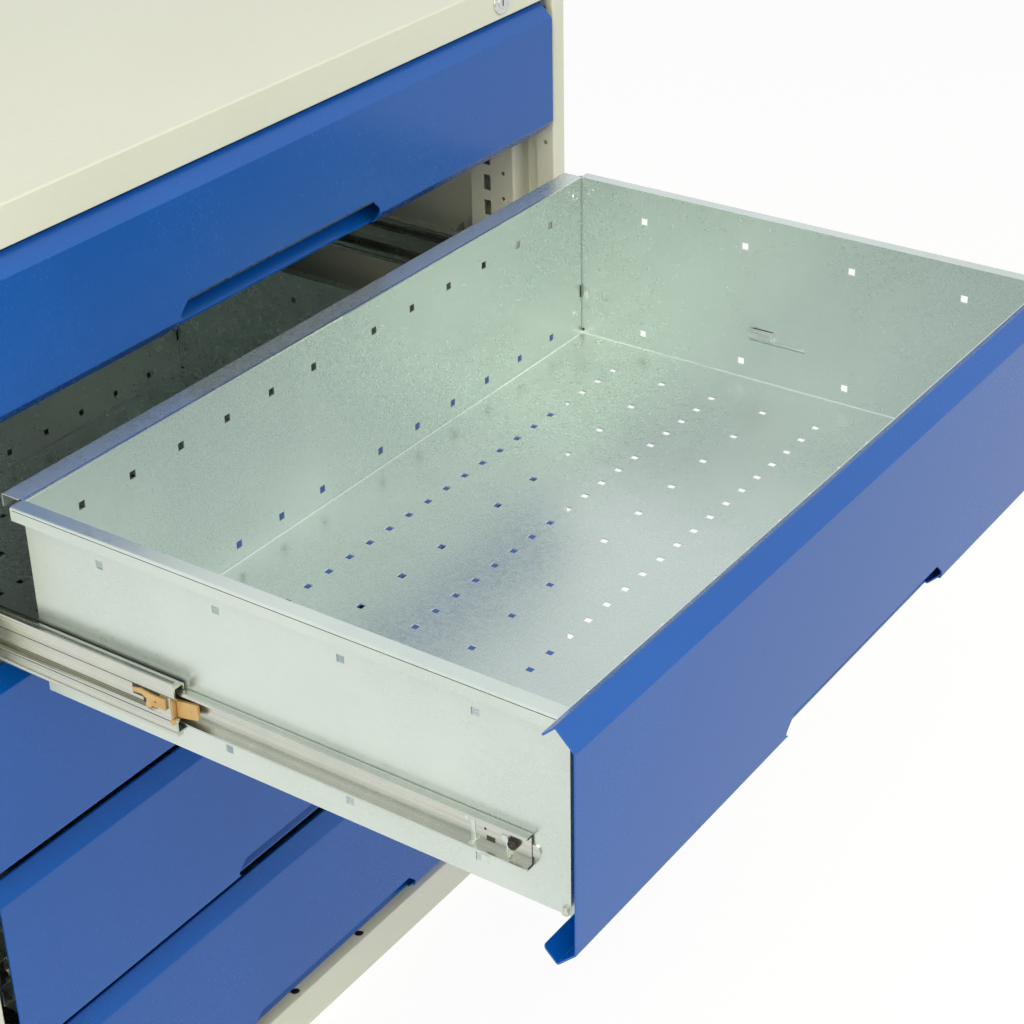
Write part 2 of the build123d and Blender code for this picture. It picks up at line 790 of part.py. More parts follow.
# Release lever: a paddle inside the drawer member, a boss through the middle
# member's window and a hook on its far side
def make_lever(number, shift):
    z = slide_level(number)
    pivot_y = lever_pivot_y - shift / 2
    root_y = mid_rail_front + mid_web_cutback - shift / 2
    tip_y = mid_rail_front - lever_reach_front - shift / 2
    inner_x = tray_outer_x + lever_inset
    hook_x = mid_web_x + hook_clearance
    with BuildPart() as lever:
        with BuildSketch(plane_facing_right(inner_x)):
            with BuildLine():
                FilletPolyline(
                    (tip_y, z - lever_tip_drop),
                    (root_y, z - lever_root_drop),
                    (pivot_y + lever_reach_back, z - lever_root_rise),
                    (pivot_y + lever_reach_back, z + lever_root_rise),
                    (root_y, z + lever_root_rise),
                    (tip_y, z + lever_tip_rise),
                    radius=1.5,
                    close=True,
                )
            make_face()
        extrude(amount=lever_sheet)
        with BuildSketch(plane_facing_right(inner_x)):
            with Locations((pivot_y, z)):
                Circle(lever_boss_radius)
        extrude(amount=hook_x - inner_x + hook_thickness)
        with BuildSketch(plane_facing_right(hook_x)):
            with BuildLine():
                Polyline(
                    (pivot_y - 9, z - 3.5),
                    (pivot_y + 2, z - 3.5),
                    (pivot_y + 5, z - 6.4),
                    (pivot_y + 9, z - 6.4),
                    (pivot_y + 7.5, z),
                    (pivot_y + 12, z + 2.2),
                    (pivot_y + 19, z + 1.5),
                    (pivot_y + 19, z + 4.8),
                    (pivot_y + 13, z + 6.2),
                    (pivot_y + 4, z + 5),
                    (pivot_y - 9, z + 5),
                    close=True,
                )
            make_face()
        extrude(amount=hook_thickness)
        with BuildSketch(plane_facing_right(hook_x)):
            with Locations((pivot_y, z)):
                Circle(1.0)
        extrude(amount=2 * hook_thickness, mode=Mode.SUBTRACT)
    return lever


# Rubber bumpers near the front ends of the drawer members
def make_bumpers(number, shift):
    z = slide_level(number)
    x = tray_outer_x + rail_sheet
    middle_y = inner_rail_front + bumper_setback + bumper_length / 2 - shift
    with BuildPart() as bumpers:
        with BuildSketch(plane_facing_right(x)):
            with Locations((middle_y, z)):
                RectangleRounded(bumper_length, bumper_height, 2.5)
        extrude(amount=bumper_depth)
        mirror(about=Plane.YZ)
    return bumpers


for number in range(1, len(drawer_pitches) + 1):
    name = "drawer" + str(number)
    shift = slide_travel if number == open_drawer else 0.0
    save(make_tray(number, shift), name + "_tray")
    save(make_front(number, shift), name + "_front")
    save(make_brackets(number, shift), name + "_front_brackets")
    save(make_inner_rails(number, shift), name + "_inner_rails")
    save(make_mid_rails(number, shift), name + "_mid_rails")
    save(make_cabinet_rails(number), name + "_cabinet_rails")
    save(make_bumpers(number, shift), name + "_bumpers")
    right_lever = make_lever(number, shift)
    save(right_lever, name + "_lever_right")
    with BuildPart() as left_lever:
        mirror(right_lever.part, about=Plane.YZ)
    save(left_lever, name + "_lever_left")
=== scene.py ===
"""Drawer cabinet: finishes, small sheet-metal details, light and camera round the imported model."""

import json
import logging
import math
from contextlib import contextmanager
from dataclasses import dataclass
from enum import Enum
from typing import Any, Callable, Iterator, Sequence

import bmesh
import bpy
from mathutils import Matrix, Vector


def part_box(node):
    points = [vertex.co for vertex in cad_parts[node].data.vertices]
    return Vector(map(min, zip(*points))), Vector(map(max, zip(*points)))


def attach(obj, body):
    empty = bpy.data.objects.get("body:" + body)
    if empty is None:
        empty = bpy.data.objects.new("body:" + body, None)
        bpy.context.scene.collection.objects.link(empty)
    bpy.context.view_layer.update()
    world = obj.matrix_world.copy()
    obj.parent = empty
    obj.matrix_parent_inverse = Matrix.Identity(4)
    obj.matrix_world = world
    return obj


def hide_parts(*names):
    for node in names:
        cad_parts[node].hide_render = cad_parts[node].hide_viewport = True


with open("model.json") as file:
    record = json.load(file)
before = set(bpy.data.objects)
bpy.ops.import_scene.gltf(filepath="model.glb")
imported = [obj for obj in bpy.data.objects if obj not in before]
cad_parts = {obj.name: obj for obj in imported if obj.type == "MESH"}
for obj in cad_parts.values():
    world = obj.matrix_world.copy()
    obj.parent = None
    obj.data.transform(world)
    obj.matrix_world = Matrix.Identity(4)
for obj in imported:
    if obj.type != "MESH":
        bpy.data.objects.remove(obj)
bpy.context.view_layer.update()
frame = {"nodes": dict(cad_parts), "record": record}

log = logging.getLogger("drawer_cabinet")

Colour = tuple[float, float, float, float]
Point = tuple[float, float, float]
Test = Callable[[Vector, Vector], bool]

MM = 0.001
DRAWER_COUNT = 5

# The least share of a face's normal along an axis that the face is said to look along.
ALIGNED = 0.9
# Edges blunter than this are shaded smooth.
SMOOTH_BELOW = math.radians(35)
# The window band of a pierced strip, as shares of its height.
WINDOW_BAND = (0.24, 0.76)


def paint(red: int, green: int, blue: int) -> Colour:
    """Turn a colour as seen on a screen into the linear values that shaders use.

    Args:
        red, green, blue: Levels from 0 to 255.

    Returns:
        The linear colour, opaque.
    """
    levels = [v / 255 for v in (red, green, blue)]
    linear = [v / 12.92 if v <= 0.04045 else ((v + 0.055) / 1.055) ** 2.4 for v in levels]
    return (linear[0], linear[1], linear[2], 1.0)


def grey(level: int) -> Colour:
    """A neutral screen grey as a linear colour."""
    return paint(level, level, level)


# ---------------------------------------------------------------- shader graph


class Signal:
    """One socket's value in a shader; arithmetic on it adds Math nodes."""

    def __init__(self, graph: "Graph", socket: bpy.types.NodeSocket) -> None:
        """Keep the graph that the socket belongs to."""
        self.graph = graph
        self.socket = socket

    def _maths(self, operation: str, *values: Any) -> "Signal":
        """Add a Math node over the given values."""
        return self.graph.add("ShaderNodeMath", {"operation": operation}, dict(enumerate(values)))

    def __add__(self, other: Any) -> "Signal":
        """Sum."""
        return self._maths("ADD", self, other)

    def __radd__(self, other: Any) -> "Signal":
        """Reflected sum."""
        return self._maths("ADD", other, self)

    def __sub__(self, other: Any) -> "Signal":
        """Difference."""
        return self._maths("SUBTRACT", self, other)

    def __rsub__(self, other: Any) -> "Signal":
        """Reflected difference."""
        return self._maths("SUBTRACT", other, self)

    def __mul__(self, other: Any) -> "Signal":
        """Product."""
        return self._maths("MULTIPLY", self, other)

    def __rmul__(self, other: Any) -> "Signal":
        """Reflected product."""
        return self._maths("MULTIPLY", other, self)

    def at_most(self, limit: float) -> "Signal":
        """The smaller of the value and a limit."""
        return self._maths("MINIMUM", self, limit)

    def between(self, low: float, high: float) -> "Signal":
        """A smooth step between two values of the signal.

        Args:
            low: Value at which the step is 0.
            high: Value at which the step is 1.

        Returns:
            The step.
        """
        return self.graph.add(
            "ShaderNodeMapRange",
            {"interpolation_type": "SMOOTHSTEP"},
            {"Value": self, "From Min": low, "From Max": high},
        )


class Graph:
    """The node tree of one material or world."""

    def __init__(self, tree: bpy.types.NodeTree) -> None:
        """Start from an empty tree."""
        self.tree = tree
        self.tree.nodes.clear()

    def add(
        self,
        kind: str,
        settings: dict[str, Any] | None = None,
        sockets: dict[Any, Any] | None = None,
        output: int | str = 0,
    ) -> Signal:
        """Add a node.

        Args:
            kind: Blender's name of the node type.
            settings: Attributes of the node, set before its sockets.
            sockets: Values or signals for the node's inputs, by name or index.
            output: Name or index of the output to return.

        Returns:
            The chosen output.
        """
        node = self.tree.nodes.new(kind)
        for name, value in (settings or {}).items():
            setattr(node, name, value)
        for name, value in (sockets or {}).items():
            if isinstance(value, Signal):
                self.tree.links.new(value.socket, node.inputs[name])
            else:
                node.inputs[name].default_value = value
        return Signal(self, node.outputs[output])

    def place(self, stretch: Point = (1, 1, 1)) -> Signal:
        """Object coordinates, stretched by a factor along each axis."""
        where = self.add("ShaderNodeTexCoord", output="Object")
        return self.add("ShaderNodeMapping", {}, {"Vector": where, "Scale": stretch})

    def noise(self, where: Signal, scale: float, detail: float = 2.0, bend: float = 0.0) -> Signal:
        """Soft random values about 0.5.

        Args:
            where: Coordinates of the pattern.
            scale: Fineness of the pattern.
            detail: Octaves of finer noise.
            bend: How far the pattern is bent.

        Returns:
            The values.
        """
        return self.add(
            "ShaderNodeTexNoise",
            {},
            {"Vector": where, "Scale": scale, "Detail": detail, "Distortion": bend},
        )

    def crystals(self, where: Signal, scale: float) -> Signal:
        """One random level for each cell of a broken pattern."""
        cells = self.add("ShaderNodeTexVoronoi", {}, {"Vector": where, "Scale": scale}, "Color")
        return self.add("ShaderNodeSeparateColor", {}, {"Color": cells}, "Red")

    def blend(self, share: Any, first: Any, second: Any) -> Signal:
        """Mix two colours.

        Args:
            share: Share of the second colour, from 0 to 1.
            first: Colour at a share of 0.
            second: Colour at a share of 1.

        Returns:
            The mixed colour.
        """
        return self.add(
            "ShaderNodeMix",
            {"data_type": "RGBA"},
            {"Factor": share, 6: first, 7: second},
            2,
        )

    def bump(self, height: Signal, strength: float, distance: float) -> Signal:
        """Surface relief from a height signal.

        Args:
            height: The height.
            strength: Share of the relief that shows.
            distance: Height of the relief in metres.

        Returns:
            The normal.
        """
        return self.add(
            "ShaderNodeBump",
            {},
            {"Height": height, "Strength": strength, "Distance": distance},
        )


def surface(name: str, build: Callable[[Graph], dict[str, Any]]) -> bpy.types.Material:
    """Make a material with one Principled shader.

    Args:
        name: Name of the material.
        build: Returns the shader's socket values for a graph.

    Returns:
        The finished material.
    """
    material = bpy.data.materials.new(name)
    material.use_nodes = True
    graph = Graph(material.node_tree)
    _close(graph, graph.add("ShaderNodeBsdfPrincipled", {}, build(graph)))
    return material


def _close(graph: Graph, shader: Signal) -> None:
    """Link a shader to the material's output."""
    end = graph.tree.nodes.new("ShaderNodeOutputMaterial")
    graph.tree.links.new(shader.socket, end.inputs["Surface"])


# -------------------------------------------------------------------- finishes


@dataclass(frozen=True)
class Recipe:
    """What all finishes share: a name, and a material built from their socket values."""

    name: str

    def build(self) -> bpy.types.Material:
        """Make the material."""
        return surface(self.name, self._sockets)

    def _sockets(self, graph: Graph) -> dict[str, Any]:
        """Values or signals for the shader's inputs, by name."""
        raise NotImplementedError


@dataclass(frozen=True)
class PowderCoat(Recipe):
    """Baked powder paint: one colour with a faint drift and a fine orange peel."""

    colour: Colour
    drift: Colour
    roughness: float
    shine: float = 0.5
    peel: float = 0.08

    def _sockets(self, graph: Graph) -> dict[str, Any]:
        """Socket values of the paint.

        Args:
            graph: The node tree to build in.

        Returns:
            Values or signals, by the name of the socket.
        """
        where = graph.place()
        wide = graph.noise(where, 3.5, 3.0, 0.4)
        fine = graph.noise(where, 420.0, 2.0)
        medium = graph.noise(where, 120.0, 2.0)
        share = wide.between(0.3, 0.7) * 0.65 + medium.between(0.35, 0.65) * 0.2 + fine * 0.15
        return {
            "Base Color": graph.blend(share, self.drift, self.colour),
            "Roughness": self.roughness + (fine - 0.5) * 0.14 + (wide - 0.5) * 0.1,
            "Normal": graph.bump(fine * 0.5 + medium * 0.5, self.peel, 0.0002),
            "Specular IOR Level": self.shine,
        }


@dataclass(frozen=True)
class ZincSheet(Recipe):
    """Galvanised sheet: cloudy grey with small crystals and faint rolling lines."""

    light: Colour
    dark: Colour
    cloud_scale: float = 4.0
    crystal_scale: float = 240.0
    metallic: float = 0.76
    roughness: float = 0.27
    relief: float = 0.012

    def _sockets(self, graph: Graph) -> dict[str, Any]:
        """Socket values of the sheet.

        Args:
            graph: The node tree to build in.

        Returns:
            Values or signals, by the name of the socket.
        """
        where = graph.place()
        clouds = graph.noise(where, self.cloud_scale, 3.0, 0.4)
        patches = graph.noise(where, 26.0, 3.0, 0.2)
        crystals = graph.crystals(where, self.crystal_scale)
        grit = graph.noise(where, 330.0, 2.0)
        lines = graph.noise(graph.place((1, 0.04, 1)), 240.0, 2.0)
        cloudy = clouds.between(0.3, 0.7)
        share = cloudy * 0.5 + patches * 0.28 + crystals * 0.08 + lines * 0.08 + grit * 0.06
        return {
            "Base Color": graph.blend(share, self.dark, self.light),
            "Metallic": self.metallic,
            "Roughness": self.roughness + cloudy * 0.05 + (crystals - 0.5) * 0.05 + (grit - 0.5) * 0.08,
            "Normal": graph.bump(lines * 0.6 + grit * 0.4, self.relief, 0.0001),
        }


@dataclass(frozen=True)
class DrawnSteel(Recipe):
    """Zinc-plated steel, drawn along the slides: fine lines along Y."""

    light: Colour
    dark: Colour
    roughness: float = 0.26
    metallic: float = 0.95

    def _sockets(self, graph: Graph) -> dict[str, Any]:
        """Socket values of the steel.

        Args:
            graph: The node tree to build in.

        Returns:
            Values or signals, by the name of the socket.
        """
        along = graph.place((1, 0.006, 1))
        fine = graph.noise(along, 1400.0, 2.0)
        broad = graph.noise(along, 320.0, 2.0)
        stains = graph.noise(graph.place(), 34.0, 3.0, 0.3)
        share = fine * 0.3 + broad.between(0.3, 0.7) * 0.3 + stains * 0.4
        return {
            "Base Color": graph.blend(share, self.dark, self.light),
            "Metallic": self.metallic,
            "Roughness": self.roughness + (fine - 0.5) * 0.1 + (stains - 0.5) * 0.12,
            "Normal": graph.bump(fine * 0.6 + broad * 0.4, 0.1, 0.0001),
        }


@dataclass(frozen=True)
class Moulding(Recipe):
    """Moulded plastic or rubber with a fine spark-eroded skin."""

    colour: Colour
    drift: Colour
    roughness: float
    grain: float = 0.3

    def _sockets(self, graph: Graph) -> dict[str, Any]:
        """Socket values of the moulding.

        Args:
            graph: The node tree to build in.

        Returns:
            Values or signals, by the name of the socket.
        """
        where = graph.place()
        flow = graph.noise(where, 90.0, 4.0, 0.8)
        skin = graph.noise(where, 1500.0, 2.0)
        return {
            "Base Color": graph.blend(flow.between(0.3, 0.7) * 0.8 + skin * 0.2, self.drift, self.colour),
            "Roughness": self.roughness + (skin - 0.5) * 0.2,
            "Normal": graph.bump(skin * 0.7 + flow * 0.3, self.grain, 0.0003),
        }


class Finish(Enum):
    """The cabinet's finishes; the darker zinc that paints shade shares the record's slot of the plain one."""

    CARCASS_PAINT = "carcass_paint"
    FRONT_PAINT = "front_paint"
    GALVANISED = "galvanised"
    ZINC_PLATE = "zinc_plate"
    ZINC_PLATE_SHADED = "zinc_plate_shaded"
    NICKEL = "nickel"
    LEVER_PLASTIC = "lever_plastic"
    BUMPER_RUBBER = "bumper_rubber"

    @property
    def slot(self) -> str:
        """The record's material slot that this finish belongs to."""
        return self.value.removesuffix("_shaded")


RECIPES: dict[Finish, Recipe] = {
    Finish.CARCASS_PAINT: PowderCoat(
        "carcass_paint", paint(235, 239, 228), paint(229, 233, 220), roughness=0.42
    ),
    Finish.FRONT_PAINT: PowderCoat(
        "front_paint", paint(2, 93, 190), paint(1, 86, 180), roughness=0.25, shine=0.52
    ),
    Finish.GALVANISED: ZincSheet("galvanised", paint(218, 229, 226), paint(192, 206, 204)),
    Finish.ZINC_PLATE: DrawnSteel("zinc_plate", paint(224, 226, 217), paint(176, 184, 178)),
    # Brighter than the galvanised sheet; on the tray's bend, press marks and hook it paints highlights.
    Finish.NICKEL: DrawnSteel("nickel", paint(228, 232, 230), paint(200, 204, 202), 0.22, 1.0),
    # A darker copy of the zinc plate that paints shade on the middle member's web shoulder.
    Finish.ZINC_PLATE_SHADED: DrawnSteel(
        "zinc_plate_shaded", paint(152, 152, 134), paint(128, 128, 112)
    ),
    Finish.LEVER_PLASTIC: Moulding(
        "lever_plastic", paint(200, 168, 114), paint(178, 146, 94), roughness=0.36
    ),
    # The dark rubber also paints shade in the slides' and trays' slots, gaps, windows and creases.
    Finish.BUMPER_RUBBER: Moulding("bumper_rubber", grey(54), grey(38), roughness=0.5, grain=0.4),
}


class Paintshop:
    """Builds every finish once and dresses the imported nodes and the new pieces."""

    def __init__(self) -> None:
        """Build the finishes."""
        self.materials = {finish: recipe.build() for finish, recipe in RECIPES.items()}

    def dress_frame(self) -> None:
        """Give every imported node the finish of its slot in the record."""
        for entry in frame["record"]["subparts"]:
            material = self.materials[Finish(entry["material_slot"])]
            for place in frame["nodes"][entry["node"]].material_slots:
                place.material = material
            log.info("%s: %s", entry["node"], material.name)

    def dress(self, piece: bpy.types.Object, finish: Finish) -> None:
        """Give a new piece one finish.

        Args:
            piece: The new piece.
            finish: What it is finished in.
        """
        piece.data.materials.clear()
        piece.data.materials.append(self.materials[finish])


# -------------------------------------------------------------------- modelling


class Piece:
    """A new mesh object, shaped with Blender's own modelling operators, in millimetres."""

    def __init__(self, name: str) -> None:
        """Take over the object that an operator has just added.

        Args:
            name: Name of the object.
        """
        self.item = bpy.context.object
        self.item.name = name
        self._settle()

    @classmethod
    def block(cls, name: str, low: Point, high: Point) -> "Piece":
        """Start from a block.

        Args:
            name: The piece's name.
            low: One corner, in millimetres.
            high: The corner across from it.

        Returns:
            The new piece.
        """
        bpy.ops.object.select_all(action="DESELECT")
        middle = [(a + b) / 2 * MM for a, b in zip(low, high)]
        bpy.ops.mesh.primitive_cube_add(size=1.0, location=middle)
        bpy.context.object.scale = [(b - a) * MM for a, b in zip(low, high)]
        return cls(name)

    @classmethod
    def bar(
        cls, name: str, start: Point, radius: float, length: float, sides: int = 32, axis: int = 0
    ) -> "Piece":
        """Start from a round bar.

        Args:
            name: The piece's name.
            start: Middle of its first end, in millimetres.
            radius: Radius in millimetres.
            length: Length in millimetres.
            sides: Number of flat sides.
            axis: 0, 1 or 2 for a bar along X, Y or Z.

        Returns:
            The new piece.
        """
        bpy.ops.object.select_all(action="DESELECT")
        middle = [value * MM for value in start]
        middle[axis] += length / 2 * MM
        bpy.ops.mesh.primitive_cylinder_add(
            vertices=sides,
            radius=radius * MM,
            depth=length * MM,
            location=middle,
            rotation=((0, math.pi / 2, 0), (math.pi / 2, 0, 0), (0, 0, 0))[axis],
        )
        return cls(name)

    def _activate(self) -> None:
        """Select this object alone."""
        bpy.ops.object.select_all(action="DESELECT")
        self.item.select_set(True)
        bpy.context.view_layer.objects.active = self.item

    def _settle(self) -> None:
        """Leave the object at the origin, with its place in its mesh."""
        bpy.ops.object.transform_apply(location=True, rotation=True, scale=True)

    @contextmanager
    def _editing(self) -> Iterator[None]:
        """Edit mode with faces as the unit and nothing selected."""
        self._activate()
        bpy.ops.object.mode_set(mode="EDIT")
        bpy.ops.mesh.select_mode(type="FACE")
        bpy.ops.mesh.select_all(action="DESELECT")
        yield
        bpy.ops.object.mode_set(mode="OBJECT")

    def _pick(self, test: Test) -> None:
        """Select the faces whose centre in millimetres and normal pass a test."""
        mesh = bmesh.from_edit_mesh(self.item.data)
        for face in mesh.faces:
            face.select_set(test(face.calc_center_median() / MM, face.normal))
        bmesh.update_edit_mesh(self.item.data)

    def push(self, test: Test, inset: float, move: Point) -> "Piece":
        """Inset the chosen faces, then extrude them.

        Args:
            test: Chooses the faces by centre and normal.
            inset: Width of the border that stays.
            move: Way of the extrusion.

        Returns:
            The same piece.
        """
        with self._editing():
            self._pick(test)
            bpy.ops.mesh.inset(thickness=inset * MM)
            bpy.ops.mesh.extrude_region_move(TRANSFORM_OT_translate={"value": [v * MM for v in move]})
        return self

    def pierce(self, columns: int, test: Test) -> "Piece":
        """Cut a flat strip into columns along Y and delete the chosen faces of its middle band.

        Args:
            columns: Number of cuts along the strip.
            test: Chooses the faces to delete.

        Returns:
            The same piece.
        """
        low, high = self.reach()
        with self._editing():
            for index in range(1, columns):
                place = (low.x, low.y + (high.y - low.y) * index / columns, low.z)
                self._slice(place, (0, 1, 0))
            for share in WINDOW_BAND:
                self._slice((low.x, low.y, low.z + (high.z - low.z) * share), (0, 0, 1))
            self._pick(test)
            bpy.ops.mesh.delete(type="FACE")
        return self

    @staticmethod
    def _slice(place: Point, normal: Point) -> None:
        """Cut the whole mesh along a plane and keep both halves."""
        bpy.ops.mesh.select_all(action="SELECT")
        bpy.ops.mesh.bisect(plane_co=place, plane_no=normal)

    def reach(self) -> tuple[Vector, Vector]:
        """Measure the piece.

        Returns:
            Its lowest and highest corner, in metres.
        """
        points = [corner.co for corner in self.item.data.vertices]
        low, high = ([pick(p[axis] for p in points) for axis in range(3)] for pick in (min, max))
        return Vector(low), Vector(high)

    def _modify(self, kind: str, **settings: Any) -> "Piece":
        """Add a modifier, set it and apply it.

        Args:
            kind: Blender's name of the modifier type.
            settings: Attributes of the modifier.

        Returns:
            The same piece.
        """
        self._activate()
        bpy.ops.object.modifier_add(type=kind)
        modifier = self.item.modifiers[-1]
        for name, value in settings.items():
            setattr(modifier, name, value)
        bpy.ops.object.modifier_apply(modifier=modifier.name)
        return self

    def soften(self, width: float, segments: int = 2) -> "Piece":
        """Round the sharp edges."""
        return self._modify("BEVEL", width=width * MM, segments=segments, limit_method="ANGLE")

    def thicken(self, amount: float) -> "Piece":
        """Give a flat strip its sheet thickness."""
        return self._modify("SOLIDIFY", thickness=amount * MM, offset=0.0)

    def join(self, *others: "Piece") -> "Piece":
        """Make one object of this and other pieces.

        Args:
            others: The pieces to take in.

        Returns:
            The same piece.
        """
        self._activate()
        for other in others:
            other.item.select_set(True)
        bpy.ops.object.join()
        return self

    def copy(self, name: str, move: Point, mirrored: bool) -> "Piece":
        """Copy the piece with a mesh of its own.

        Args:
            name: Name of the copy.
            move: Way from here to there, in metres.
            mirrored: Whether the copy belongs on the left.

        Returns:
            The copy, settled and with its faces outwards.
        """
        self._activate()
        bpy.ops.object.duplicate(linked=False)
        twin = bpy.context.object
        twin.location = move
        twin.scale.x = -1 if mirrored else 1
        return Piece(name).face_outwards()

    def face_outwards(self) -> "Piece":
        """Turn all faces outwards and smooth the shading where edges are blunt.

        Returns:
            The same piece.
        """
        with self._editing():
            bpy.ops.mesh.select_all(action="SELECT")
            bpy.ops.mesh.normals_make_consistent(inside=False)
        bpy.ops.object.shade_smooth_by_angle(angle=SMOOTH_BELOW)
        return self

    def discard(self) -> None:
        """Remove a model that only served for copies."""
        self._activate()
        bpy.ops.object.delete()


def facing(axis: int, sign: int) -> Test:
    """Choose the faces that look along one axis."""
    return lambda centre, normal: normal[axis] * sign > ALIGNED


# --------------------------------------------------------------- sub-assemblies


class Carrier(Enum):
    """What a small part is fixed to, and the corner that it is measured from."""

    DRAWER_RAIL = "inner_rails"
    MIDDLE_RAIL = "mid_rails"
    CABINET_RAIL = "cabinet_rails"
    TRAY_BACK = "tray, back bottom corner"
    TRAY_BACK_TOP = "tray, back top corner"
    TRAY_FRONT = "tray, front bottom corner"


class Bay:
    """One drawer's share of the cabinet: where its carriers are and how they move."""

    rail_setback: float = 5.6
    back_setback: float = 20.0
    front_setback: float = 17.0

    def __init__(self, number: int) -> None:
        """Read the places of the drawer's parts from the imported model.

        Args:
            number: The drawer's number, from 1 at the top.
        """
        self.drawer = f"drawer{number}"
        rails = {kind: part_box(f"{self.drawer}_{kind}") for kind in ("inner_rails", "mid_rails")}
        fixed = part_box(f"{self.drawer}_cabinet_rails")
        low, high = (Vector(corner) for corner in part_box(f"{self.drawer}_tray"))
        level = (rails["mid_rails"][0][2] + rails["mid_rails"][1][2]) / 2
        self.anchors: dict[Carrier, tuple[float, float]] = {
            Carrier.DRAWER_RAIL: (rails["inner_rails"][0][1] + self.rail_setback * MM, level),
            Carrier.MIDDLE_RAIL: (rails["mid_rails"][0][1], level),
            Carrier.CABINET_RAIL: (fixed[0][1], level),
            Carrier.TRAY_BACK: (high.y - self.back_setback * MM, low.z),
            Carrier.TRAY_BACK_TOP: (high.y - self.back_setback * MM, high.z),
            Carrier.TRAY_FRONT: (low.y + self.front_setback * MM, low.z),
        }

    def body(self, carrier: Carrier) -> str:
        """The body that a carrier's small parts ride on.

        Args:
            carrier: What the parts are fixed to.

        Returns:
            The body's name.
        """
        if carrier is Carrier.CABINET_RAIL:
            return "carcass"
        return f"{self.drawer}_mid" if carrier is Carrier.MIDDLE_RAIL else self.drawer


class Assembler:
    """Copies each small part to both sides of every drawer, dresses it and mounts it."""

    def __init__(self, shop: Paintshop, bays: Sequence[Bay]) -> None:
        """Keep the finishes and the bays."""
        self.shop = shop
        self.bays = bays

    def spread(self, model: Piece, carrier: Carrier, finish: Finish) -> None:
        """Put a part on every drawer, left and right.

        Args:
            model: The part, measured from its carrier's corner on the right.
            carrier: What it is fixed to.
            finish: What it is finished in.
        """
        kind = model.item.name
        for bay in self.bays:
            front, level = bay.anchors[carrier]
            for side, mirrored in (("right", False), ("left", True)):
                twin = model.copy(f"{bay.drawer}_{kind}_{side}", (0, front, level), mirrored)
                self.shop.dress(twin.item, finish)
                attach(twin.item, bay.body(carrier))
        log.info("%s: %d pieces", kind, 2 * len(self.bays))
        model.discard()


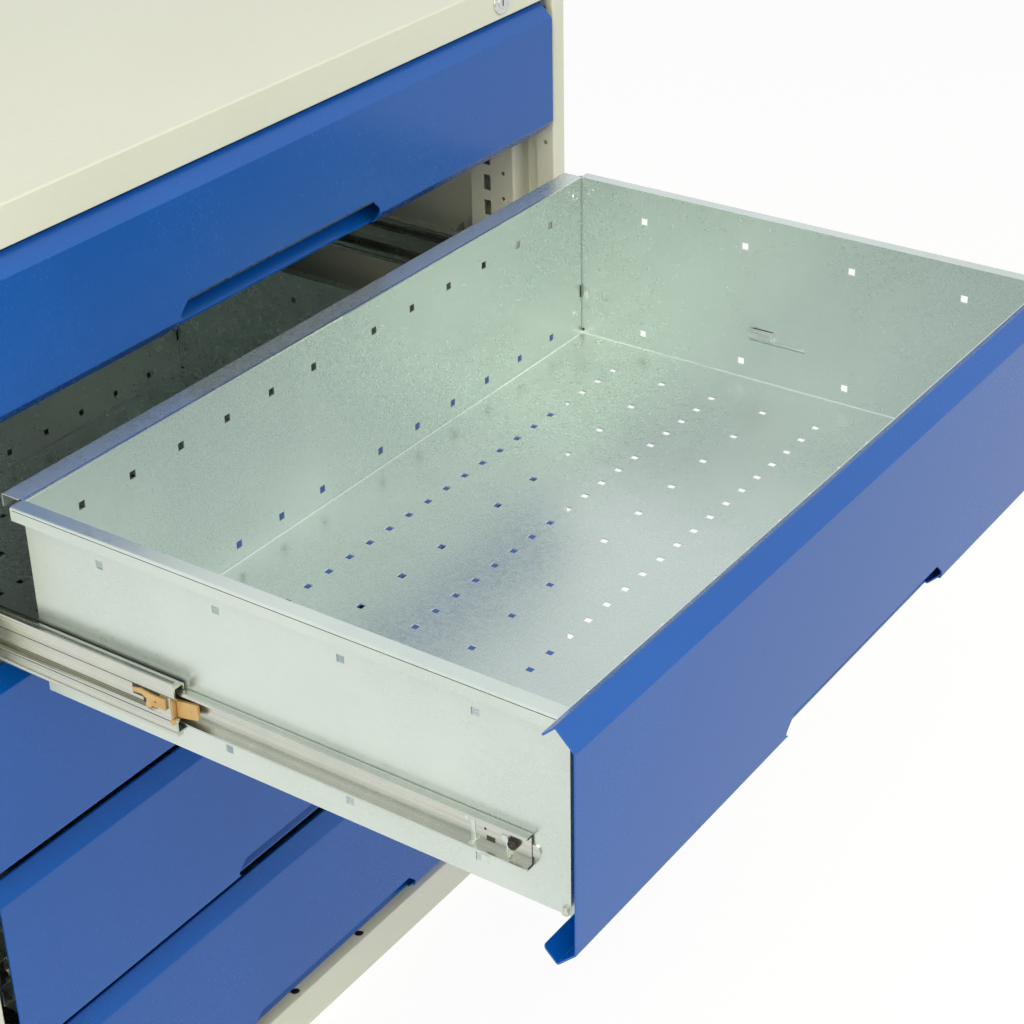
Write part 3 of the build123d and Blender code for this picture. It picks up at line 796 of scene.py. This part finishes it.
@dataclass
class SlideFittings:
    """Small parts of the ball slides; Y from the member's front, Z from its middle."""

    web: float = 339.7
    middle_web: float = 347.55
    rib_place: float = 43.0
    rib_width: float = 3.2
    plate_place: float = 15.5
    plate_reach: float = 3.2
    window_place: float = 27.0
    cage_start: float = 6.0
    cage_length: float = 455.0
    cage_windows: int = 35
    middle_length: float = 470.0
    pivot: float = 19.0

    def build(self, team: Assembler) -> None:
        """Model and mount all of them."""
        team.spread(self._rib(), Carrier.DRAWER_RAIL, Finish.GALVANISED)
        team.spread(self._catch(), Carrier.DRAWER_RAIL, Finish.GALVANISED)
        # Dark plates that paint the shade inside the lanced window and the small hole.
        team.spread(self._painted_window_shade(), Carrier.DRAWER_RAIL, Finish.BUMPER_RUBBER)
        team.spread(self._end(), Carrier.DRAWER_RAIL, Finish.BUMPER_RUBBER)
        team.spread(self._collar(), Carrier.MIDDLE_RAIL, Finish.LEVER_PLASTIC)
        # Dark plate that paints the shade in the web's window around the lever's hook.
        team.spread(self._painted_lever_window_shade(), Carrier.MIDDLE_RAIL, Finish.BUMPER_RUBBER)
        # Dark strips that paint shade in the middle member's folds and beside the tray wall.
        team.spread(self._painted_crease_shade(), Carrier.MIDDLE_RAIL, Finish.BUMPER_RUBBER)
        team.spread(self._races(), Carrier.MIDDLE_RAIL, Finish.ZINC_PLATE)
        # Painted shade on the middle member's web shoulder, in darker zinc.
        team.spread(self._painted_shoulder_shade(), Carrier.MIDDLE_RAIL, Finish.ZINC_PLATE_SHADED)
        cages = (
            ("inner_cage_upper", 341.7, 14.4, 2.9, Carrier.MIDDLE_RAIL),
            ("inner_cage_lower", 341.7, -14.4, 2.9, Carrier.MIDDLE_RAIL),
            ("outer_cage_upper", 341.15, 20.0, 2.5, Carrier.CABINET_RAIL),
            ("outer_cage_lower", 341.15, -20.0, 2.5, Carrier.CABINET_RAIL),
        )
        for name, place, level, height, carrier in cages:
            team.spread(self._cage(name, place, level, height), carrier, Finish.NICKEL)

    def _rib(self) -> Piece:
        """A bead rolled across the drawer member's web and flanges."""
        low, high = self.rib_place - self.rib_width / 2, self.rib_place + self.rib_width / 2
        across = Piece.block("rib", (self.web - 0.3, low, -11.2), (self.web + 0.5, high, 11.2))
        for way, name in ((1, "rib_top"), (-1, "rib_bottom")):
            level = way * 11.0
            across.join(
                Piece.block(name, (self.web, low, level - 0.5), (self.web + 4.9, high, level + 0.5))
            )
        lip = Piece.block("rib_lip", (345.7, low, 8.6), (346.35, high, 12.0))
        return across.join(lip).soften(0.35, 3)

    def _catch(self) -> Piece:
        """A plate that stands across the channel behind the bumper, on its foot."""
        low = self.plate_place
        plate = Piece.block(
            "catch", (self.web - 0.2, low, -11.2), (self.web + self.plate_reach, low + 1.2, 4.2)
        )
        plate.push(facing(1, 1), 1.2, (0, 0.5, 0))
        foot = Piece.block("catch_foot", (self.web - 0.2, low, -4.0), (self.web + 0.6, low + 6.5, 3.0))
        return plate.join(foot).soften(0.3)

    def _painted_window_shade(self) -> Piece:
        """Painted shade: dark plates where the lanced window and the small hole in the web show only shadow.
        """
        place = self.window_place
        pane = Piece.block("window", (self.web - 0.2, place, -6.6), (self.web + 0.14, place + 6.2, -3.0))
        pane.push(facing(0, 1), 0.5, (-0.1, 0, 0))
        hole = Piece.bar("painted_hole_shade", (self.web - 0.2, place + 7.1, 1.4), 0.9, 0.32, 20)
        hole.push(facing(0, 1), 0.3, (-0.1, 0, 0))
        return pane.join(hole)

    def _end(self) -> Piece:
        """The dark cut edges at the drawer member's front end."""
        web = Piece.block("rail_end", (self.web - 1.1, -0.12, -11.4), (self.web + 0.1, 0.5, 11.4))
        web.push(facing(1, -1), 0.15, (0, 0.04, 0))
        for way in (-1, 1):
            level = way * 11.1
            lip = Piece.block(
                "lip_end", (self.web, -0.12, level - 0.55), (self.web + 4.4, 0.5, level + 0.55)
            )
            web.join(lip.push(facing(1, -1), 0.15, (0, 0.04, 0)))
        return web

    def _collar(self) -> Piece:
        """The moulded end stop of the middle member with its round foot."""
        stop = Piece.block("collar", (346.2, 3.2, -7.2), (349.9, 5.0, 7.2))
        stop.push(facing(0, 1), 0.5, (-0.4, 0, 0))
        foot = Piece.bar("collar_foot", (348.6, 3.4, -9.7), 2.2, 2.0)
        foot.push(facing(0, 1), 0.7, (-0.3, 0, 0))
        return stop.join(foot).soften(0.3, 2)

    def _painted_lever_window_shade(self) -> Piece:
        """Painted shade: a dark plate in the window of the middle member's web, a little larger than the
        lever's hook.
        """
        web, pivot = self.middle_web, self.pivot
        arm = Piece.block("lever_window", (web, pivot - 3.0, -1.2), (web + 0.2, pivot + 21.0, 7.0))
        prong = Piece.block("lever_window_low", (web, pivot + 0.5, -7.0), (web + 0.2, pivot + 12.0, -1.4))
        arm.push(facing(0, 1), 0.6, (-0.12, 0, 0))
        return arm.join(prong.push(facing(0, 1), 0.6, (-0.12, 0, 0)))

    def _painted_crease_shade(self) -> Piece:
        """Painted shade: dark strips in the middle member's fold creases and a dark run for the gap's shadow
        beside the tray wall.
        """
        end = self.middle_length - 0.5
        run = Piece.block("painted_crease_shade", (338.8, 0.5, 14.2), (340.3, end, 17.4))
        run.push(facing(2, 1), 0.2, (0, 0, -0.4))
        for sign in (1, -1):
            fold = Piece.block("fold", (350.1, 0.5, sign * 9.6 - 0.25), (350.28, end, sign * 9.6 + 0.25))
            run.join(fold.push(facing(0, 1), 0.08, (-0.05, 0, 0)))
        return run

    def _races(self) -> Piece:
        """The raised ball races on the middle member's upper and lower flange."""
        end = self.middle_length - 0.6
        races = None
        for sign in (1, -1):
            low, high = sorted((sign * 17.8, sign * 20.7))
            race = Piece.block(f"race_{sign}", (344.8, 0.4, low), (350.2, end, high))
            race.push(facing(2, sign), 1.3, (0, 0, -sign * 1.2))
            races = race if races is None else races.join(race)
        races.item.name = "ball_races"
        return races.soften(0.35)

    def _painted_shoulder_shade(self) -> Piece:
        """Painted shade: a band of darker zinc on the shoulder where the middle member's web steps out to its
        lower lobe.
        """
        band = Piece.block("web_shoulder", (347.4, 24.0, -8.4), (348.3, self.middle_length - 0.6, -4.4))
        return band.push(facing(0, 1), 0.8, (-0.4, 0, 0)).soften(0.2)

    def _cage(self, name: str, place: float, level: float, height: float) -> Piece:
        """A pierced strip that keeps the balls of one race apart.

        Args:
            name: The piece's name.
            place: Its place along X.
            level: Height of its middle.
            height: Its height.

        Returns:
            The strip.
        """
        start = self.cage_start
        strip = Piece.block(
            name,
            (place, start, level - height / 2),
            (place + 0.05, start + self.cage_length, level + height / 2),
        )
        columns = 2 * self.cage_windows + 1
        step = self.cage_length / columns
        band = height / 4

        def in_window(centre: Vector, normal: Vector) -> bool:
            """Whether a face lies in a window of the strip's middle band."""
            column = int((centre.y - start) / step)
            return abs(centre.z - level) < band and column % 2 == 1 and abs(normal.x) > ALIGNED

        return strip.pierce(columns, in_window).thicken(0.35)


@dataclass
class Bumpers:
    """Round rubber bumpers, one pair a drawer, in place of the plain packed ones."""

    radius: float = 3.4
    depth: float = 3.4
    place: float = 12.7
    web: float = 339.7

    def build(self, shop: Paintshop, bays: Sequence[Bay]) -> None:
        """Model one and mount a pair on every drawer."""
        model = Piece.bar("bumper", (self.web, self.place, 0), self.radius, self.depth, 40)
        model.push(facing(0, 1), 1.1, (-0.9, 0, 0))
        model.push(
            lambda centre, normal: normal.x > ALIGNED and (centre.y - self.place) ** 2 + centre.z**2 < 1,
            1.0,
            (0.7, 0, 0),
        )
        model.soften(0.35, 3)
        for bay in bays:
            front, level = bay.anchors[Carrier.DRAWER_RAIL]
            pair = model.copy(f"{bay.drawer}_bumper_pair", (0, front, level), False)
            pair.join(model.copy("bumper_left", (0, front, level), True))
            shop.dress(pair.item, Finish.BUMPER_RUBBER)
            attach(pair.item, bay.drawer)
            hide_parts(f"{bay.drawer}_bumpers")
            log.info("%s", pair.item.name)
        model.discard()


@dataclass
class TrayFittings:
    """Folded-sheet details at the corners of a tray; Y from the wall, Z from the corner."""

    wall: float = 337.5
    outside: float = 338.5
    tab_drop: float = 114.3
    tab_height: float = 11.5
    lip: float = 349.5
    depth: float = 430.0
    press_radius: float = 3.7
    lance_place: float = -172.0
    lance_length: float = 54.0
    lance_level: float = 38.0
    hook_lift: float = 3.9
    hook_height: float = 8.4

    def build(self, team: Assembler) -> None:
        """Model and mount all of them."""
        tall = Assembler(team.shop, team.bays[1:])
        tall.spread(self._tab(), Carrier.TRAY_BACK_TOP, Finish.GALVANISED)
        # Dark plate that paints the shade in the slot beside the locking tab.
        tall.spread(self._painted_tab_slot_shade(), Carrier.TRAY_BACK_TOP, Finish.BUMPER_RUBBER)
        # Dark disc that paints the shade inside the corner's relief hole.
        team.spread(self._painted_relief_shade(), Carrier.TRAY_BACK, Finish.BUMPER_RUBBER)
        # Dark plate that paints the shade in the gap between the flanges.
        team.spread(self._painted_flange_gap_shade(), Carrier.TRAY_BACK_TOP, Finish.BUMPER_RUBBER)
        # Dark strip that paints the shade in the corner's joint.
        tall.spread(self._painted_seam_shade(), Carrier.TRAY_BACK_TOP, Finish.BUMPER_RUBBER)
        # Rounded bend in brighter nickel: real rounding plus a painted highlight.
        team.spread(self._bead(), Carrier.TRAY_BACK_TOP, Finish.NICKEL)
        # Dark line that paints the shadow under the side flange's lip.
        team.spread(self._painted_lip_shadow(), Carrier.TRAY_BACK_TOP, Finish.BUMPER_RUBBER)
        # Press marks in brighter nickel: real rims plus painted highlights on them.
        team.spread(self._presses_above(), Carrier.TRAY_BACK_TOP, Finish.NICKEL)
        team.spread(self._presses(), Carrier.TRAY_BACK, Finish.NICKEL)
        team.spread(self._louvre(), Carrier.TRAY_BACK, Finish.GALVANISED)
        # Raised hook in brighter nickel: real relief plus a painted highlight.
        team.spread(self._hook(), Carrier.TRAY_BACK, Finish.NICKEL)
        # Dark strip that paints the shade in the cut above the hook.
        team.spread(self._painted_hook_slot_shade(), Carrier.TRAY_BACK, Finish.BUMPER_RUBBER)
        team.spread(self._clip(), Carrier.TRAY_FRONT, Finish.ZINC_PLATE)
        team.spread(self._emboss(), Carrier.TRAY_FRONT, Finish.GALVANISED)

    def _tab(self) -> Piece:
        """The locking tab of the corner and the square emboss ahead of it."""
        wall, low = self.wall, -self.tab_drop
        tab = Piece.block("corner_tab", (wall - 1.1, -7.6, low), (wall + 0.2, -1.6, low + self.tab_height))
        tab.push(facing(0, -1), 0.8, (-0.3, 0, 0))
        square = Piece.block("corner_emboss", (wall - 1.2, -29.5, low + 0.4), (wall + 0.2, -21.5, low + 9.2))
        square.push(facing(0, -1), 1.0, (1.1, 0, 0))
        return tab.join(square).soften(0.2)

    def _painted_tab_slot_shade(self) -> Piece:
        """Painted shade: a dark plate in the slot beside the locking tab."""
        low = -self.tab_drop
        slot = Piece.block(
            "corner_slot",
            (self.wall - 3.4, -0.14, low),
            (self.wall - 1.0, 0.2, low + self.tab_height),
        )
        return slot.push(facing(1, -1), 0.3, (0, 0.1, 0))

    def _painted_relief_shade(self) -> Piece:
        """Painted shade: a dark disc in the round relief at the foot of the corner's seam."""
        dot = Piece.bar("corner_relief", (self.wall - 0.12, -1.7, 4.8), 1.4, 0.4, 24)
        return dot.push(facing(0, -1), 0.4, (0.08, 0, 0))

    def _painted_flange_gap_shade(self) -> Piece:
        """Painted shade: a dark plate in the gap where the two flanges meet above the corner."""
        gap = Piece.block("flange_gap", (self.wall + 0.6, 0.7, -0.4), (self.wall + 2.4, 2.6, 0.1))
        return gap.push(facing(2, 1), 0.3, (0, 0, -0.06))

    def _painted_seam_shade(self) -> Piece:
        """Painted shade: a dark strip in the joint where the side wall meets the back wall."""
        seam = Piece.block("corner_seam", (self.wall - 1.0, -0.12, -1.0), (self.wall - 0.7, 0.1, -148.0))
        return seam.push(facing(1, -1), 0.05, (0, 0.05, 0))

    def _bead(self) -> Piece:
        """The rounded bend between the back wall and its flange; its brighter nickel paints a highlight along
        the bend.
        """
        bead = Piece.block("flange_bend", (0.0, -0.8, -1.2), (self.wall - 0.2, 1.1, 0.3))
        return bead.push(facing(2, 1), 0.5, (0, 0, 0.03)).soften(0.6, 3)

    def _painted_lip_shadow(self) -> Piece:
        """Painted shadow: a dark line along the fold between the side flange and its lip."""
        edge = Piece.block(
            "painted_lip_shadow", (self.lip - 0.5, 1.0 - self.depth, -2.05), (self.lip + 0.08, -1.0, -1.6)
        )
        return edge.push(facing(0, 1), 0.08, (0.02, 0, 0))

    def _press(self, name: str, centre: Point, axis: int, height: float) -> Piece:
        """One round press mark with a raised rim.

        Args:
            name: The piece's name.
            centre: Its place on the sheet, in millimetres.
            axis: 0, 1 or 2 for a sheet across X, Y or Z.
            height: How far the rim stands up; negative where the sheet faces down the axis.

        Returns:
            The mark.
        """
        start = list(centre)
        start[axis] += min(height, -0.1)
        mark = Piece.bar(name, tuple(start), self.press_radius, abs(height) + 0.1, 28, axis)
        sink = [0.0, 0.0, 0.0]
        sink[axis] = -math.copysign(0.4, height)
        return mark.push(facing(axis, round(math.copysign(1, height))), 0.9, tuple(sink)).soften(0.15)

    def _presses(self) -> Piece:
        """The press marks of the floor and the walls beside the corner; their brighter nickel paints
        highlights on the rims.
        """
        marks = self._press("press_marks", (self.wall - 11.0, 0.0, 24.0), 1, -0.95)
        marks.join(self._press("press_side", (self.wall, -9.5, 24.0), 0, -0.3))
        marks.join(self._press("press_floor", (self.wall - 24.0, -12.0, 1.0), 2, 0.6))
        return marks.join(self._press("press_floor_far", (self.wall - 8.5, -25.0, 1.0), 2, 0.6))

    def _presses_above(self) -> Piece:
        """The press marks of the walls below the corner's top; their brighter nickel paints highlights on the
        rims.
        """
        marks = self._press("press_marks_above", (self.wall - 11.0, 0.0, -15.0), 1, -0.95)
        return marks.join(self._press("press_side_above", (self.wall, -9.5, -12.0), 0, -0.3))

    def _louvre(self) -> Piece:
        """The pressed strip that closes the lanced slot down to a thin dark line."""
        low, high = self.lance_place - self.lance_length, self.lance_place
        level = self.lance_level
        strip = Piece.block("louvre", (337.8, low - 0.2, level + 1.3), (338.4, high + 0.2, level + 4.2))
        return strip.push(facing(0, -1), 0.5, (-0.5, 0, 0)).soften(0.15)

    def _hook(self) -> Piece:
        """The raised hook above the rear half of the lanced slot; its brighter nickel paints a highlight
        where it catches the light.
        """
        low, high = self.lance_place - 25.4, self.lance_place - 0.7
        level = self.lance_level + self.hook_lift
        hook = Piece.block("lance_hook", (334.9, low, level), (337.6, high, level + self.hook_height))
        return hook.push(facing(0, -1), 1.6, (-0.5, 0, 0)).soften(0.9, 3)

    def _painted_hook_slot_shade(self) -> Piece:
        """Painted shade: a dark strip in the cut above the hook."""
        level = self.lance_level + self.hook_lift + self.hook_height
        slot = Piece.block(
            "hook_slot", (337.2, self.lance_place - 23.5, level), (337.6, self.lance_place - 4.0, level + 0.4)
        )
        return slot.push(facing(0, -1), 0.15, (-0.1, 0, 0))

    def _clip(self) -> Piece:
        """The small clip at the front bottom corner of the tray's outer wall."""
        clip = Piece.block("corner_clip", (self.outside - 0.2, 0.4, 0.4), (self.outside + 2.2, 4.4, 6.4))
        return clip.push(facing(0, 1), 0.9, (-0.8, 0, 0)).soften(0.3)

    def _emboss(self) -> Piece:
        """A square press mark low on the outer wall, below the slide."""
        mark = Piece.block("wall_emboss", (self.outside - 0.2, 58.0, 13.5), (self.outside + 0.35, 64.0, 19.5))
        return mark.push(facing(0, 1), 0.9, (-0.28, 0, 0)).soften(0.12)


# ---------------------------------------------------------------------- studio


@dataclass(frozen=True)
class Lamp:
    """A soft square lamp: place, aim and side in metres, power in watts."""

    name: str
    place: Point
    aim: Point
    side: float
    power: float

    def build(self, colour: Colour) -> None:
        """Add the lamp to the scene.

        Args:
            colour: The linear colour of its light.
        """
        bpy.ops.object.select_all(action="DESELECT")
        turn = (Vector(self.place) - Vector(self.aim)).to_track_quat("Z", "Y").to_euler()
        bpy.ops.object.light_add(type="AREA", location=self.place, rotation=turn)
        lamp = bpy.context.object
        lamp.name = self.name
        lamp.data.size = self.side
        lamp.data.color = colour[:3]
        lamp.data.energy = self.power
        lamp.visible_camera = False


@dataclass
class Studio:
    """Floor, world, lamps and the photograph's camera."""

    floor_size: float = 60.0
    floor_grey: int = 240
    floor_glow: float = 1.08
    floor_share: float = 0.82
    floor_mirrored: float = 0.7
    shade_half: tuple[float, float] = (0.39, 0.268)
    shade_edge: float = 0.004
    world_strength: float = 0.45
    world_colour: Colour = paint(246, 254, 255)
    lamp_colour: Colour = paint(255, 241, 214)
    eye: Point = (-1.17000, -1.31417, 1.43686)
    right: Point = (0.56729663, -0.8233024, -0.01864655)
    up: Point = (0.42398261, 0.27258432, 0.86367617)
    forward: Point = (0.70598391, 0.49786639, -0.50370207)
    lens: float = 76.467
    sensor: float = 36.0
    nearest: float = 0.05
    lamps: tuple[Lamp, ...] = (
        Lamp("lamp_key", (-2.4, -1.9, 3.4), (0.0, -0.3, 0.5), 2.4, 66.0),
        Lamp("lamp_side", (-3.6, -0.9, 1.1), (-0.3, -0.6, 0.6), 1.6, 42.0),
        Lamp("lamp_fill", (0.2, -3.2, 3.4), (0.0, -0.5, 0.6), 2.8, 46.0),
    )

    def build(self) -> None:
        """Set up the whole studio."""
        self._floor()
        self._world()
        for lamp in self.lamps:
            lamp.build(self.lamp_colour)
        self._camera()
        bpy.context.scene.view_settings.view_transform = "Standard"

    @staticmethod
    def _seen(graph: Graph, mirrored: float = 1.0) -> Signal:
        """1 for rays that show the backdrop itself, 0 for rays that only light.

        Args:
            graph: The node tree to build in.
            mirrored: How far rays off metal and through glass count as well.

        Returns:
            The share of the shown backdrop.
        """
        direct, mirror, through = (
            graph.add("ShaderNodeLightPath", output=name)
            for name in ("Is Camera Ray", "Is Glossy Ray", "Is Transmission Ray")
        )
        return (direct + (mirror + through) * mirrored).at_most(1.0)

    def _clear_of(self, graph: Graph) -> Signal:
        """0 below the cabinet, where it is dark, and 1 elsewhere.

        Args:
            graph: The floor's node tree.

        Returns:
            The share of the floor that is clear of the cabinet.
        """
        where = graph.place()
        inside = None
        for axis, half in zip("XY", self.shade_half):
            place = graph.add("ShaderNodeSeparateXYZ", {}, {"Vector": where}, axis)
            share = (place * place).between((half + self.shade_edge) ** 2, half**2)
            inside = share if inside is None else inside * share
        return 1.0 - inside

    def _floor(self) -> None:
        """Add the plain pale floor."""
        bpy.ops.object.select_all(action="DESELECT")
        bpy.ops.mesh.primitive_plane_add(size=self.floor_size)
        floor = bpy.context.object
        floor.name = "studio_floor"
        material = bpy.data.materials.new("studio_floor")
        material.use_nodes = True
        graph = Graph(material.node_tree)
        matt = graph.add("ShaderNodeBsdfDiffuse", {}, {"Color": grey(self.floor_grey)})
        glow = graph.add("ShaderNodeEmission", {}, {"Color": grey(255), "Strength": self.floor_glow})
        share = self._seen(graph, self.floor_mirrored) * self.floor_share * self._clear_of(graph)
        mixed = graph.add("ShaderNodeMixShader", {}, {0: share, 1: matt, 2: glow})
        _close(graph, mixed)
        floor.data.materials.append(material)

    def _world(self) -> None:
        """Light the scene evenly from all round, with a white backdrop."""
        world = bpy.data.worlds.new("studio_world")
        bpy.context.scene.world = world
        world.use_nodes = True
        graph = Graph(world.node_tree)
        light = graph.add(
            "ShaderNodeBackground", {}, {"Color": self.world_colour, "Strength": self.world_strength}
        )
        shown = graph.add("ShaderNodeBackground", {}, {"Color": grey(255), "Strength": 1.0})
        mixed = graph.add("ShaderNodeMixShader", {}, {0: self._seen(graph), 1: light, 2: shown})
        end = graph.tree.nodes.new("ShaderNodeOutputWorld")
        graph.tree.links.new(mixed.socket, end.inputs["Surface"])

    def _camera(self) -> None:
        """Add the camera at the photograph's place."""
        data = bpy.data.cameras.new("photo_camera")
        data.lens = self.lens
        data.sensor_width = self.sensor
        data.clip_start = self.nearest
        camera = bpy.data.objects.new("photo_camera", data)
        bpy.context.scene.collection.objects.link(camera)
        axes = (Vector(self.right), Vector(self.up), -Vector(self.forward))
        turn = Matrix(axes).transposed().to_4x4()
        camera.matrix_world = Matrix.Translation(self.eye) @ turn
        bpy.context.scene.camera = camera


def main() -> None:
    """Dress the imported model, add the details and set up the studio."""
    logging.basicConfig(level=logging.INFO, format="%(message)s")
    shop = Paintshop()
    shop.dress_frame()
    bays = [Bay(number) for number in range(1, DRAWER_COUNT + 1)]
    team = Assembler(shop, bays)
    SlideFittings().build(team)
    Bumpers().build(shop, bays)
    TrayFittings().build(team)
    Studio().build()


if __name__ == "__main__":
    main()
